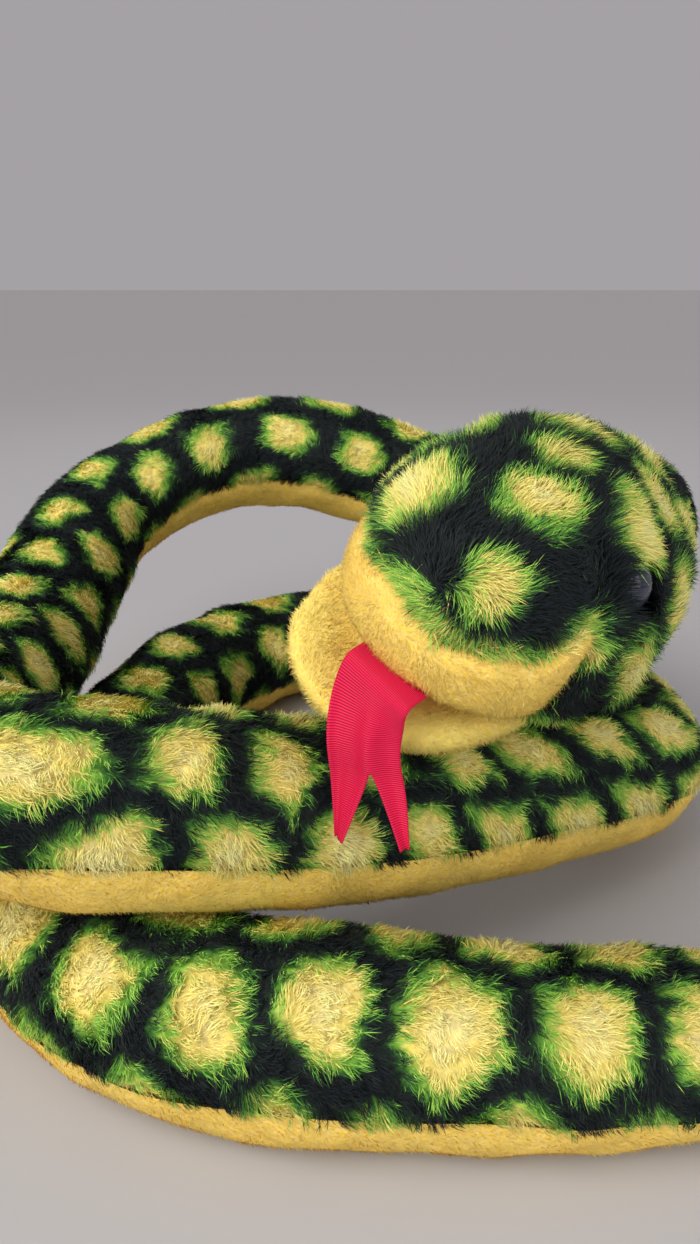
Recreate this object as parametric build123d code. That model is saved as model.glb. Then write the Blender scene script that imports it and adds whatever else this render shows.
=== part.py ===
from build123d import *
import math
import os

# A long stuffed toy snake, coiled up with its head resting on its own body. Millimetres.
# +X is the viewer's right, +Y is away from the viewer, +Z is up, and z = 0 is the table.
# The body is a sewn tube: a patterned back panel and a plain belly panel around loose filling.

# ---- driving dimensions ----
BODY_R = 29.5            # outer radius of the sewn tube, without its pile
PLUSH = 3.0              # thickness of the plush fabric
EASE = 0.3               # space between the fabric and the filling
SEAM_GAP = 0.4           # space between two panels at a seam
BELLY_HALF = 68          # degrees from straight down to each belly seam
FLAT = 1.0               # how deep the tube is pressed flat where it lies on the table
JOINT_GAP = 0.5          # clearance of the ball shaped ends at a bending place
BALL_RATIO = 1.18        # radius of such a ball end, over the tube's radius

# ---- the head ----
HEAD_R = 45.0            # largest radius of the head
HEAD_WIDEST = 80.0       # from the nod pivot to the widest place
HEAD_START = 12.0        # from the nod pivot to where the head swells out of the neck
NOSE_R = 34.0            # radius of the round snout
HEAD_LENGTH = 139.0      # from the nod pivot to the tip of the snout
HEAD_YAW = 37.5          # degrees that the snout points to the left of straight forward
HEAD_PITCH = 1.0         # degrees that the snout points down
HEAD_ROLL = 30.0         # degrees that the snake's left cheek hangs down
NOD_PIVOT = (54, -30, 144)
TURN_PIVOT = (72, 28, 134)

# ---- the mouth ----
MOUTH_DROP = 12.0        # the mouth lies this far under the head's middle line
MOUTH_GAP = 1.6          # the slit between the lips
LINING = 1.0             # thickness of the felt that lines the mouth
JAW_X = 62.0             # from the nod pivot to the jaw's hinge line
JAW_KNUCKLE = 41.0       # radius of the jaw's rounded back end
JAW_WEDGE = 14.0         # degrees left free behind the hinge line for the jaw to open
JAW_YAW = 10.0           # degrees that the jaw is pushed to the snake's right
JAW_OPEN = 8.0           # degrees that the jaw hangs open at rest
JAW_FORWARD = 7.0        # the jaw stands out this far under the snout
JAW_SLIM = 2.0           # the jaw's surface lies this far inside the head's own form
LIP_RISE = 23.0          # height of the plain upper lip at the front
LIP_END = 70.0           # where the plain upper lip runs out at the side

# ---- eyes and tongue ----
EYE_X = 83.0             # from the nod pivot to where the eyes' axes leave the middle line
EYE_FORWARD = 7.0        # degrees that each eye faces forwards, as the surface does there
EYE_LIFT = 42.0          # degrees that each eye is raised from the side
EYE_D = 16.0
EYE_HEIGHT = 5.0
STEM_D = 4.0
STEM_LENGTH = 12.0
WASHER_D = 15.0
WASHER_T = 1.5
TONGUE_W = 24.0
TONGUE_T = 0.8
TONGUE_FREE = 50.0       # length that hangs out of the mouth
TONGUE_FORK = 22.0       # length of the two points
TONGUE_HELD = 38.0       # length sewn in between the lips
TONGUE_BEND = 5.0        # length between the sewn in part and the hanging part, where it bends
TONGUE_X = 147.0         # from the nod pivot to where it bends down
TONGUE_ASIDE = 3.0       # how far it sits to the snake's left of the middle
TONGUE_LEAN = 7.0        # degrees that the free end leans out from straight down
TONGUE_TURN = 18.0       # degrees that the free end faces to the left of straight forward

# ---- the tail ----
TAIL_PIVOT = (82.5, -159, 20.5)
TAIL_TIP = (215.5, -109, 7)
TAIL_R = 21.5
TIP_R = 6.0

LYING = BODY_R - FLAT    # height of the tube's middle line where it lies on the table

# The body's route from the neck to the tail: each stretch's name, its radius, and the corners
# of its middle line. The line runs straight between them, with an arc at each corner.
ROUTE = [
    ("arch_right", BODY_R, [(78, 78, 123), (52, 122, 115), (-2, 158, 117)]),
    ("arch_top", BODY_R, [(-45, 168, 131), (-90, 166, 141), (-138, 160, 132)]),
    ("arch_left", BODY_R, [(-178, 137, 113), (-192, 98, 95), (-192, 50, 82)]),
    ("left_side", BODY_R, [(-192, -10, 75), (-190, -58, 79)]),
    ("front_bend", BODY_R, [(-188, -100, 87), (-172, -138, 95), (-133, -150, 95)]),
    ("front_left", BODY_R, [(-97, -134, 83), (-60, -116, 70)]),
    ("front_upper", BODY_R, [(-17, -93, 61), (25, -71, 56)]),
    ("right_bend", BODY_R, [(60, -48, 49), (80, -5, 38), (75, 50, 30)]),
    ("inner_back", BODY_R, [(50, 105, LYING), (0, 146, LYING), (-61, 151, LYING)]),
    ("inner_left", BODY_R, [(-107, 124, LYING), (-135, 75, LYING), (-146, 15, LYING)]),
    ("bottom_bend", 29.0, [(-150, -50, 28), (-147, -110, 28), (-118, -150, 28)]),
    ("bottom_front", 28.0, [(-59, -166, 27), (-3, -169, 27)]),
    ("tail_root", 24.5, [(46, -166, 23.5)]),
]

# The closing stitches, in a row along the hidden seam of one stretch.
STITCH_STRETCH = "bottom_front"
STITCH_COUNT = 9
STITCH_START = 25.0
STITCH_PITCH = 5.0
STITCH_D = 0.9
STITCH_LENGTH = 5.0
STITCH_CLEAR = 0.2

ABOVE_TABLE = Pos(0, 0, 200) * Box(1200, 1200, 400)


def middle(a, b):
    """The point half way between two points."""
    return (Vector(*a) + Vector(*b)) / 2


def section_plane(point, tangent):
    """A plane across the body, with local +X to its side and local +Y up."""
    side = Vector(0, 0, 1).cross(tangent).normalized()
    return Plane(origin=point, x_dir=side, z_dir=tangent)


def panel_section(outer, inner, start, end):
    """A piece of a ring between two angles, counted from local +X."""
    big = CenterArc((0, 0), outer, start, end - start)
    small = CenterArc((0, 0), inner, start, end - start)
    return make_face([big, Line(big @ 1, small @ 1), small, Line(small @ 0, big @ 0)])


def seam_angles(radius):
    """Start and end angles of the back panel and of the belly panel."""
    half_gap = math.degrees(SEAM_GAP / 2 / radius)
    low_left = 270 - BELLY_HALF
    low_right = 270 + BELLY_HALF
    back = (low_right - 360 + half_gap, low_left - half_gap)
    belly = (low_left + half_gap, low_right - half_gap)
    return back, belly


def corner_radius(before, corner, after):
    """The arc at a corner, nearly as large as its two runs allow."""
    run_in = corner - before
    run_out = after - corner
    half_turn = math.radians(run_in.get_angle(run_out)) / 2
    return 0.95 * min(run_in.length, run_out.length) / math.tan(half_turn)


def stretch_path(start, corners, end):
    """Straight runs joined by arcs, from one run's middle to another's."""
    points = [Vector(*p) for p in [start, *corners, end]]
    halves = [points[0]]
    for a, b in zip(points[1:-2], points[2:-1]):
        halves.append((a + b) / 2)
    halves.append(points[-1])
    radii = [corner_radius(halves[i], points[i + 1], halves[i + 1]) for i in range(len(corners))]
    return FilletPolyline(*points, radius=radii)


def sweep_section(face, path):
    """Carries a section from the start of a path to its end."""
    return sweep(section_plane(path @ 0, path % 0) * face, path=path)


def body_stretches():
    """Each stretch's name, radius and path."""
    corners = [Vector(*c) for _, _, group in ROUTE for c in group]
    nodes = [Vector(*TURN_PIVOT), *corners, Vector(*TAIL_PIVOT)]
    result = []
    index = 1
    for name, radius, group in ROUTE:
        last = index + len(group) - 1
        start = nodes[0] if index == 1 else middle(nodes[index - 1], nodes[index])
        end = nodes[-1] if last == len(nodes) - 2 else middle(nodes[last], nodes[last + 1])
        result.append((name, radius, stretch_path(start, group, end)))
        index = last + 1
    return result


def ball(pivot, radius, gap=0.0):
    """The ball shaped end at a bending place."""
    return Pos(*pivot) * Sphere(radius * BALL_RATIO + gap)


def make_body(parts):
    """The coiled body: panels for each stretch, and one filling."""
    filling = None
    for name, radius, path in body_stretches():
        back, belly = seam_angles(radius)
        inner = radius - PLUSH
        pieces = {
            f"{name}_back": sweep_section(panel_section(radius, inner, *back), path),
            f"{name}_belly": sweep_section(panel_section(radius, inner, *belly), path),
        }
        core = sweep_section(Circle(inner - EASE), path)
        if name == ROUTE[0][0]:
            socket = ball(TURN_PIVOT, BODY_R, JOINT_GAP)
            pieces = {key: piece - socket for key, piece in pieces.items()}
            core = core - socket
        if name == ROUTE[-1][0]:
            socket = ball(TAIL_PIVOT, TAIL_R, JOINT_GAP)
            pieces = {key: piece - socket for key, piece in pieces.items()}
            core = core - socket
        for key, piece in pieces.items():
            parts[key] = piece & ABOVE_TABLE
        filling = core if filling is None else filling + core
    parts["body_filling"] = filling


def make_neck(parts):
    """The neck, from a ball end at the turn pivot to a hollow end at the nod pivot."""
    start = Vector(*TURN_PIVOT)
    end = Vector(*NOD_PIVOT)
    along = (end - start).normalized()
    plane = section_plane(start, along)
    length = (end - start).length
    reach = BODY_R * BALL_RATIO
    front = plane * Pos(0, 0, length) * Box(150, 150, 2 * length)
    keep = front + ball(TURN_PIVOT, BODY_R)
    socket = ball(NOD_PIVOT, BODY_R, JOINT_GAP)
    back, belly = seam_angles(BODY_R)
    inner = BODY_R - PLUSH
    sections = {
        "neck_back": panel_section(BODY_R, inner, *back),
        "neck_belly": panel_section(BODY_R, inner, *belly),
        "neck_filling": Circle(inner - EASE),
    }
    for name, face in sections.items():
        tube = extrude(plane * Pos(0, 0, -reach) * face, amount=length + reach)
        parts[name] = (tube & keep) - socket


def head_plane():
    """The head's own frame: +X along the snout, +Y to the snake's left, +Z to its crown."""
    yaw = math.radians(HEAD_YAW)
    pitch = math.radians(HEAD_PITCH)
    level = Vector(-math.sin(yaw), -math.cos(yaw), 0)
    snout = level * math.cos(pitch) - Vector(0, 0, math.sin(pitch))
    left = Vector(0, 0, 1).cross(level)
    crown = snout.cross(left)
    crown = crown * math.cos(math.radians(HEAD_ROLL)) + left * math.sin(math.radians(HEAD_ROLL))
    return Plane(origin=NOD_PIVOT, x_dir=snout, z_dir=crown)


def head_form(inset):
    """The head as a turned shape about its own X axis, moved in from the outside by inset."""
    neck = BODY_R - inset
    rise = HEAD_WIDEST - HEAD_START
    climb = HEAD_R - BODY_R
    rear_r = (rise**2 + climb**2) / (2 * climb)
    rear_c = HEAD_R - rear_r
    nose_x = HEAD_LENGTH - NOSE_R
    reach = nose_x - HEAD_WIDEST
    front_r = (reach**2 + HEAD_R**2 - NOSE_R**2) / (2 * (HEAD_R - NOSE_R))
    front_c = HEAD_R - front_r
    neck_x = HEAD_WIDEST - math.sqrt((rear_r - inset) ** 2 - (neck - rear_c) ** 2)
    mid_x = (HEAD_WIDEST + neck_x) / 2
    mid_r = rear_c + math.sqrt((rear_r - inset) ** 2 - (HEAD_WIDEST - mid_x) ** 2)
    towards = Vector(reach, -front_c).normalized()
    nose_start = Vector(nose_x, 0) + towards * (NOSE_R - inset)
    half = Vector(reach / 2, -front_c).normalized()
    front_mid = Vector(HEAD_WIDEST, front_c) + half * (front_r - inset)
    nose_half = math.atan2(towards.Y, towards.X) / 2
    nose_mid = Vector(nose_x, 0) + Vector(math.cos(nose_half), math.sin(nose_half)) * (NOSE_R - inset)
    back_x = -BODY_R * BALL_RATIO
    tip = Vector(HEAD_LENGTH - inset, 0)
    outline = [
        Line((back_x, 0), (back_x, neck)),
        Line((back_x, neck), (neck_x, neck)),
        ThreePointArc((neck_x, neck), (mid_x, mid_r), (HEAD_WIDEST, HEAD_R - inset)),
        ThreePointArc((HEAD_WIDEST, HEAD_R - inset), front_mid, nose_start),
        ThreePointArc(nose_start, nose_mid, tip),
        Line(tip, (back_x, 0)),
    ]
    return revolve(make_face(outline), Axis.X, 360)


def side_region(*edges):
    """A region drawn from the side, in the head's X and Z, and as wide as the head."""
    face = Plane.XZ * make_face(list(edges))
    return extrude(face, amount=80, both=True)


def polygon_region(*points):
    """The same for a region with straight sides."""
    return side_region(*Polyline(*points, close=True).edges())


def jaw_region(top, knuckle, wedge):
    """The space of the lower jaw: below the mouth, with a round end about its hinge line."""
    hinge = Vector(JAW_X, -MOUTH_DROP)
    start = hinge + Vector(knuckle, 0).rotate(Axis.Z, 180 + wedge)
    half = hinge + Vector(knuckle, 0).rotate(Axis.Z, 225 + wedge / 2)
    low = hinge + Vector(0, -knuckle)
    front = HEAD_LENGTH + 20
    return side_region(
        Line((front, top), (JAW_X, top)),
        Line((JAW_X, top), start),
        ThreePointArc(start, half, low),
        Line(low, (front, low.Y)),
        Line((front, low.Y), (front, top)),
    )


def eye_places():
    """Each eye's name and its frame, with +Z straight out of the head."""
    for name, side in (("left", 1), ("right", -1)):
        lift = math.radians(EYE_LIFT)
        forward = math.radians(EYE_FORWARD)
        sideways = side * math.cos(lift) * math.cos(forward)
        out = Vector(math.sin(forward), sideways, math.sin(lift) * math.cos(forward))
        yield name, Plane(origin=Vector(EYE_X, 0, 0), x_dir=out.cross(Vector(0, 1, 0)), z_dir=out)


def make_head(parts):
    """Head, lower jaw and tongue, drawn in the head's own frame and then put in place."""
    place = head_plane()
    outer = head_form(0)
    inner = head_form(PLUSH)
    core = head_form(PLUSH + EASE)
    shell = outer - inner
    upper_lip_z = -MOUTH_DROP + MOUTH_GAP / 2
    lower_lip_z = -MOUTH_DROP - MOUTH_GAP / 2
    front = HEAD_LENGTH + 20
    ahead = Pos(front / 2, 0, 0) * Box(front, 160, 160)
    keep = ahead + Sphere(BODY_R * BALL_RATIO)
    jaw_space = jaw_region(upper_lip_z, JAW_KNUCKLE + JOINT_GAP, 0)
    jaw_shape = jaw_region(lower_lip_z, JAW_KNUCKLE, JAW_WEDGE)
    hinge = Vector(JAW_X, 0, -MOUTH_DROP)
    aside = Pos(*hinge) * Rotation(0, 0, -JAW_YAW)
    jaw_turn = aside * Rotation(0, JAW_OPEN, 0) * Pos(*-hinge)
    aside = aside * Pos(*-hinge)
    lip_line = [(front, upper_lip_z), (LIP_END, upper_lip_z), (HEAD_LENGTH, upper_lip_z + LIP_RISE)]
    lip_space = polygon_region(*lip_line, (front, upper_lip_z + LIP_RISE))
    throat_z = -BODY_R * math.cos(math.radians(BELLY_HALF))
    throat_space = polygon_region((-60, throat_z), (JAW_X, throat_z), (JAW_X, -80), (-60, -80))

    jaw_room = (aside * jaw_space) + (jaw_turn * jaw_space)
    skin = (shell & keep) - jaw_room
    head = {
        "head_cap": skin - lip_space - throat_space,
        "upper_lip": skin & lip_space,
        "throat": skin & throat_space,
    }
    roof = Pos(0, 0, upper_lip_z + LINING / 2) * Box(2 * front, 160, LINING)
    ahead_of_hinge = Pos(JAW_X + front / 2, 0, 0) * Box(front, 160, 160)
    head["mouth_roof"] = core & roof & ahead_of_hinge
    filling = ((core & keep) - jaw_room) - (roof & ahead_of_hinge)
    held_end = TONGUE_X - TONGUE_BEND
    held = Box(TONGUE_HELD, TONGUE_W, TONGUE_T)
    held_at = (held_end - TONGUE_HELD / 2, TONGUE_ASIDE, upper_lip_z - TONGUE_T / 2)
    head["tongue_root"] = Pos(*held_at) * held

    forward = Pos(JAW_FORWARD, 0, 0)
    jaw_inner = forward * head_form(JAW_SLIM + PLUSH)
    jaw_core = forward * head_form(JAW_SLIM + PLUSH + EASE)
    floor = Pos(0, 0, lower_lip_z - LINING / 2) * Box(2 * front, 160, LINING)
    jaw = {
        "lower_jaw": (forward * head_form(JAW_SLIM) - jaw_inner) & jaw_shape,
        "mouth_floor": jaw_core & floor & ahead_of_hinge,
        "jaw_filling": (jaw_core & jaw_shape) - (floor & ahead_of_hinge),
    }

    base = HEAD_R + 0.2
    dome_r = ((EYE_D / 2) ** 2 + EYE_HEIGHT**2) / (2 * EYE_HEIGHT)
    washer_z = HEAD_R - PLUSH - 1.0 - WASHER_T
    for name, frame in eye_places():
        cap = Pos(0, 0, base + EYE_HEIGHT - dome_r) * Sphere(dome_r)
        cap = cap & (Pos(0, 0, base + 25) * Box(50, 50, 50))
        stem = Pos(0, 0, base - STEM_LENGTH / 2) * Cylinder(STEM_D / 2, STEM_LENGTH)
        hole = Pos(0, 0, base - STEM_LENGTH / 2) * Cylinder(STEM_D / 2 + 0.2, STEM_LENGTH + 0.4)
        washer = Pos(0, 0, washer_z + WASHER_T / 2) * Cylinder(WASHER_D / 2, WASHER_T)
        pocket = Pos(0, 0, HEAD_R - 5) * Cylinder(WASHER_D / 2 + 0.3, 6)
        head[f"eye_{name}"] = frame * (cap + stem)
        head[f"eye_washer_{name}"] = frame * (washer - hole)
        head["head_cap"] = head["head_cap"] - frame * hole
        filling = filling - frame * hole - frame * pocket
    head["head_filling"] = filling
    for name, piece in head.items():
        parts[name] = place * piece
    for name, piece in jaw.items():
        parts[name] = place * jaw_turn * piece


def make_tongue(parts):
    """The free end of the ribbon, which hangs down in front of the lips."""
    root = head_plane().from_local_coords(Vector(TONGUE_X, TONGUE_ASIDE, -MOUTH_DROP))
    across = Vector(1, 0, 0).rotate(Axis.Z, -TONGUE_TURN)
    down = Vector(0, 0, -1).rotate(Axis((0, 0, 0), across), -TONGUE_LEAN)
    hang = Plane(origin=root, x_dir=across, z_dir=across.cross(-down))
    half = TONGUE_W / 2
    fork_y = -(TONGUE_FREE - TONGUE_FORK)
    outline = Polyline(
        (-half, 0),
        (half, 0),
        (half, -TONGUE_FREE),
        (0.3, fork_y),
        (-0.3, fork_y),
        (-half, -TONGUE_FREE),
        close=True,
    )
    ribbon = extrude(make_face(outline), amount=TONGUE_T / 2, both=True)
    parts["tongue_ribbon"] = hang * ribbon


def make_tail(parts):
    """The tapered tail, from its ball end to its round tip."""
    start = Vector(*TAIL_PIVOT)
    tip = Vector(*TAIL_TIP)
    along = tip - start
    length = along.length
    plane = section_plane(start, along.normalized())
    reach = TAIL_R * BALL_RATIO
    slope = (TIP_R - TAIL_R) / length
    ahead = Pos(0, 0, length) * Box(120, 120, 2 * length)
    keep = ahead + Sphere(reach)

    def taper(inset):
        near = TAIL_R - slope * reach - inset
        far = TIP_R - inset
        return [(0, -reach), (near, -reach), (far, length), (0, length)]

    def turned(points):
        return revolve(Plane.XZ * make_face(Polyline(*points, close=True)), Axis.Z, 360)

    outer = turned(taper(0)) + Pos(0, 0, length) * Sphere(TIP_R)
    hollow = turned(taper(PLUSH))
    core = turned(taper(PLUSH + EASE))
    wall = (outer - hollow) & keep
    spread = 60
    low = spread * math.sin(math.radians(90 - BELLY_HALF))
    wide = spread * math.cos(math.radians(90 - BELLY_HALF))
    wedge = make_face(Polyline((0, 0), (-wide, -low), (-wide, -2 * spread),
                               (wide, -2 * spread), (wide, -low), close=True))
    belly_space = Pos(0, 0, -reach - 5) * extrude(wedge, amount=length + 2 * reach + 20)
    parts["tail_back"] = (plane * (wall - belly_space)) & ABOVE_TABLE
    parts["tail_belly"] = (plane * (wall & belly_space)) & ABOVE_TABLE
    parts["tail_filling"] = plane * (core & keep)


def make_stitches(parts):
    """The hand stitches that close the filling slit, across a hidden belly seam."""
    name, radius, path = next(item for item in body_stretches() if item[0] == STITCH_STRETCH)
    angle = math.radians(270 + BELLY_HALF)
    out = radius + STITCH_D / 2 + STITCH_CLEAR
    row = []
    for index in range(STITCH_COUNT):
        share = (STITCH_START + index * STITCH_PITCH) / path.length
        across = section_plane(path @ share, path % share)
        at = across.from_local_coords(Vector(out * math.cos(angle), out * math.sin(angle), 0))
        round_tube = across.from_local_coords(Vector(-math.sin(angle), math.cos(angle), 0)) - across.origin
        row.append(Plane(origin=at, z_dir=round_tube) * Cylinder(STITCH_D / 2, STITCH_LENGTH))
    parts["closing_stitches"] = Compound(children=row)


def build_all():
    parts = {}
    make_body(parts)
    make_neck(parts)
    make_head(parts)
    make_tongue(parts)
    make_tail(parts)
    make_stitches(parts)
    return parts


os.makedirs("parts", exist_ok=True)
for node, shape in build_all().items():
    export_step(shape, f"parts/{node}.step")
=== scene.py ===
import math
from collections import namedtuple

import bmesh
import bpy
import numpy as np
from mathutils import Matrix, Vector


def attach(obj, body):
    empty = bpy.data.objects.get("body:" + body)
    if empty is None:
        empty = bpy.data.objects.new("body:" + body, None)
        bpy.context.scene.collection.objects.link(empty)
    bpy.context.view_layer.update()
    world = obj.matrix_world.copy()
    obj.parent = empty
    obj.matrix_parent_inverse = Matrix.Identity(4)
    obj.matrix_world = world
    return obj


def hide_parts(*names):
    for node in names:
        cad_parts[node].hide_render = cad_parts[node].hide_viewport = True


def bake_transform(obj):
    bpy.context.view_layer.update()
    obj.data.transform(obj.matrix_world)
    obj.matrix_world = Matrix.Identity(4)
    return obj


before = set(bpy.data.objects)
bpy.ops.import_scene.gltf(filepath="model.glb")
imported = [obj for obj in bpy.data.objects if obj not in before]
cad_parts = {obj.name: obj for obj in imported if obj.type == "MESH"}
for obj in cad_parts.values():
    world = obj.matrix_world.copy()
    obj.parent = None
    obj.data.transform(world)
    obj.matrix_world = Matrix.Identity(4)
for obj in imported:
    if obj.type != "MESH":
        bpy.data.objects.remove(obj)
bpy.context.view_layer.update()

# A long plush snake in a coil. Metres, in the frame's own axes: +X to the viewer's right, +Y away,
# +Z up, and z = 0 is the floor. Lengths below are written in millimetres times MM.
MM = 0.001

# ---- the body's route: each stretch's name, how far its belly is rolled towards the viewer in
# degrees, the height of a row of printed spots in mm, how far the rows are shifted round the
# body in mm, the length of a spot with its share of the net in mm, and the corners of its middle
# line in mm ----
ROUTE = [
    ("arch_right", 0, 30, 0, 44, [(78, 78, 123), (52, 122, 115), (-2, 158, 117)]),
    ("arch_top", 0, 30, 0, 44, [(-45, 168, 131), (-90, 166, 141), (-138, 160, 132)]),
    ("arch_left", 0, 30, 0, 44, [(-178, 137, 113), (-192, 98, 95), (-192, 50, 82)]),
    ("left_side", 2, 28, 1, 38, [(-192, -10, 75), (-190, -58, 79)]),
    ("front_bend", 10, 27, 2, 31.6, [(-188, -100, 87), (-172, -138, 95), (-133, -150, 95)]),
    ("front_left", 16, 27, 3, 31.6, [(-97, -134, 83), (-60, -116, 70)]),
    ("front_upper", 16, 27, 3, 31.6, [(-17, -93, 61), (25, -71, 56)]),
    ("right_bend", 10, 28, 2, 31.6, [(60, -48, 49), (80, -5, 38), (75, 50, 30)]),
    ("inner_back", 0, 30, 0, 43, [(50, 105, 28.5), (0, 146, 28.5), (-61, 151, 28.5)]),
    ("inner_left", 0, 31, 2, 43, [(-107, 124, 28.5), (-135, 75, 28.5), (-146, 15, 28.5)]),
    ("bottom_bend", 12, 35, 6, 31.6, [(-150, -50, 28), (-147, -110, 28), (-118, -150, 28)]),
    ("bottom_front", 18, 37, 8, 31.6, [(-59, -166, 27), (-3, -169, 27)]),
    ("tail_root", 18, 37, 8, 31.6, [(46, -166, 23.5)]),
]
NOD_PIVOT = (54, -30, 144)
TURN_PIVOT = (72, 28, 134)
TAIL_PIVOT = (82.5, -159, 20.5)
TAIL_TIP = (215.5, -109, 7)
BODY_R = 29.5 * MM
TIP_R = 7.0 * MM
SLIMMING = [((-150, -50, 28), 1.0), ((-3, -169, 27), 0.94), (TAIL_PIVOT, 0.76)]  # shares of BODY_R
BELLY_HALF = math.radians(70)    # from the belly's middle to each seam
HEAD_ROLL = -30                  # the head's own roll, in the same sense as the route's
IN_HEAD = 30                     # the tube starts this many mm past the nod pivot, inside the head
STEP = 2 * MM                    # between places on the tube's middle line
JOIN = 26.0 * MM                 # the neck and tail skins reach this far onto the coil
BODY_FILL = 0.75                 # how full of filling the tube is
LUMPS = [(1.1, 62, 3), (0.5, 24, 4)]  # of the filling: height and length in mm, and a seed
FOLD = 1.5 * MM                  # depth of the folds inside the bends
FOLD_LENGTH = 15 * MM
SEAM = 1.6 * MM                  # depth of the pinched seam between back and belly
SEAM_WIDTH = 2.6 * MM
FLOOR_GAP = 0.5 * MM             # the fabric lies this far above the floor
PRESSED = 3.0 * MM               # and spreads where it would be lower than this
SPREAD = 0.35                    # by this share of the missing height

# ---- the printed pattern of the back ----
CELL = 31.6 * MM                 # the spots' usual length, which their shapes are worked out at
PRINT_AT = (-97, -134, 83)       # beside this corner of the route
PRINT_PART = 0.82                # the print is this far through a spot
WIDER_NET = 0.15                 # how much deeper the net cuts in, for each mm that spots are longer
NET = 3.1 * MM                   # half width of the black net
GREEN_EDGE = 7.1 * MM            # where the green border turns yellow
LEAN = 0.5                       # beneath the head the pile is brushed aslant, so the spots lean
LEAN_FROM = (-60, -116, 70)      # from this corner of the route
LEAN_TO = (75, 50, 30)           # to this one

# ---- the head, in its own axes: X along the snout, Y to the snake's left, Z to its crown ----
SNOUT = Vector((-0.608669, -0.793233, -0.017452))
LEFT = Vector((0.692376, -0.520280, -0.499924))
CROWN = Vector((0.387476, -0.316372, 0.865894))
HEAD_AXES = np.array([SNOUT, LEFT, CROWN])
HEAD_FROM = 13.0 * MM            # the head's skin starts this far from the nod pivot
NAPE = 12.0 * MM                 # the head widens from here
WIDEST_AT = 80.0 * MM            # to here
HEAD_R = 45.0 * MM               # where this is its radius
NOSE = 60.0 * MM                 # and it narrows over this length
HEAD_FILL = 0.85                 # how full of filling the head and the jaw are
FORM_VOXEL = 1.8 * MM            # grain of the head's and the jaw's remesh
HEAD_SPOTS = [                   # mm along the snout, degrees from the crown to the left, size in mm
    (116, -46, 10), (105, 3, 7.5), (129, 28, 5.5), (80, 32, 9), (62, -15, 9), (86, -4, 4.5), (84, -48, 8),
    (108, 66, 6), (68, -95, 7), (52, 24, 9), (84, 80, 8), (56, 66, 9), (88, -82, 9), (56, -62, 9),
    (30, 0, 8), (30, 42, 8), (30, -40, 8), (32, 84, 8), (32, -84, 8),
]
LIP_LINE = [                     # degrees from the snout's tip to the left, height of the seam in mm
    (-110, -11), (-80, -4), (-60, 3), (-42, 6), (-29, 9), (-22, 11), (-12, 12), (-3, 10), (10, 8), (22, 11),
    (35, 15), (41, 20), (46, 22), (50, 23), (53, -9), (62, -11), (110, -11),
]
LIP_MIDDLE = 80.0 * MM           # the degrees are measured about this place on the middle line
LIP_SLANT = 0.3                  # and lean back by this many degrees for each mm of height
LIP_FROM = 60.0 * MM             # the lip's seam starts this far along the snout
LIP_PAD = 2.2 * MM               # how far the lip is padded out
LIP_SEAM = 2.0 * MM              # and how deep its seam is pressed in
TUCK = 2.0 * MM                  # the cap reaches this far under the lip and the throat
FRINGE = 6.0 * MM                # green shows along the lip's seam, up to about this height
MOUTH_DROP = 12.0 * MM           # the mouth's gap lies this far under the middle line
EYE_X = 88.5 * MM                # along the snout to each eye
EYE_ANGLE = math.radians(48)     # from the crown to each eye
EYE_CLEAR = 8.3 * MM             # no strand grows nearer than this to an eye's middle
JAW_PAD = 1.6 * MM               # how far the jaw is padded out
JAW_DROOP = (8.0, 0.0, -7.0)     # its heavy front hangs by this, in mm along the head's axes

# ---- the tongue, a satin ribbon ----
TONGUE_W = 24.0 * MM
TONGUE_LENGTH = 93.0 * MM
TONGUE_FORK = 22.0 * MM
NOTCH_AT = 0.18                  # from -1 at the ribbon's left edge to 1 at its right edge
NOTCH_CUT = 0.75                 # share of the width that is cut away at the points
TONGUE_OUT = 50.0 * MM           # from between the lips to the points
TONGUE_HANG = [                  # down from the lips, forwards and sideways, in mm
    (1, 0, 0), (8, -0.5, -2.2), (20, 1.2, -3.0), (34, -1.0, -0.8), (48, 1.5, 1.2),
]
TONGUE_THICK = 0.35 * MM
TONGUE_X = 147.0 * MM            # along the snout to where the tongue comes out
TONGUE_ASIDE = 3.0 * MM          # and that far to the left
TONGUE_TURN = math.radians(18)   # its face is turned this far to the viewer's left
TONGUE_LEAN = math.radians(7)    # and its points hang this far forwards
TONGUE_COLUMNS = 25

# ---- light and camera ----
LIGHTS = [                       # name, place, size in metres and power in watts
    ("key", (-0.75, -0.85, 0.8), 0.9, 9.0),
    ("fill", (0.75, -0.95, 0.45), 0.9, 4.5),
    ("rim", (-0.1, 1.0, 0.9), 0.8, 1.2),
]
LIT_PLACE = Vector((-0.02, 0, 0.08))
SUN_WAY = Vector((0.55, 0.45, -1.0))
CAMERA_AT = (-0.045, -0.379, 0.232)
CAMERA_TILT = math.radians(70)   # from straight down
CAMERA_LENS = 27.03              # millimetres, on a sensor 36 mm high

SEED = 11
rng = np.random.default_rng(SEED)


# ---- small maths ----
def unit(v):
    """Rows of v at length 1."""
    return v / np.maximum(np.linalg.norm(v, axis=-1, keepdims=True), 1e-12)


def ease(x, low, high):
    """0 below low, 1 above high, smooth between."""
    t = np.clip((x - low) / (high - low), 0, 1)
    return t * t * (3 - 2 * t)


def ripple(points, length, seed, waves=9):
    """Smooth noise between about -1 and 1, with features of that length."""
    source = np.random.default_rng(seed)
    total = np.zeros(len(points))
    for _ in range(waves):
        way = unit(source.normal(size=3)) * 2 * math.pi / (length * source.uniform(0.8, 1.7))
        total += np.sin(points @ way + source.uniform(0, 2 * math.pi))
    return total / math.sqrt(waves)


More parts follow.
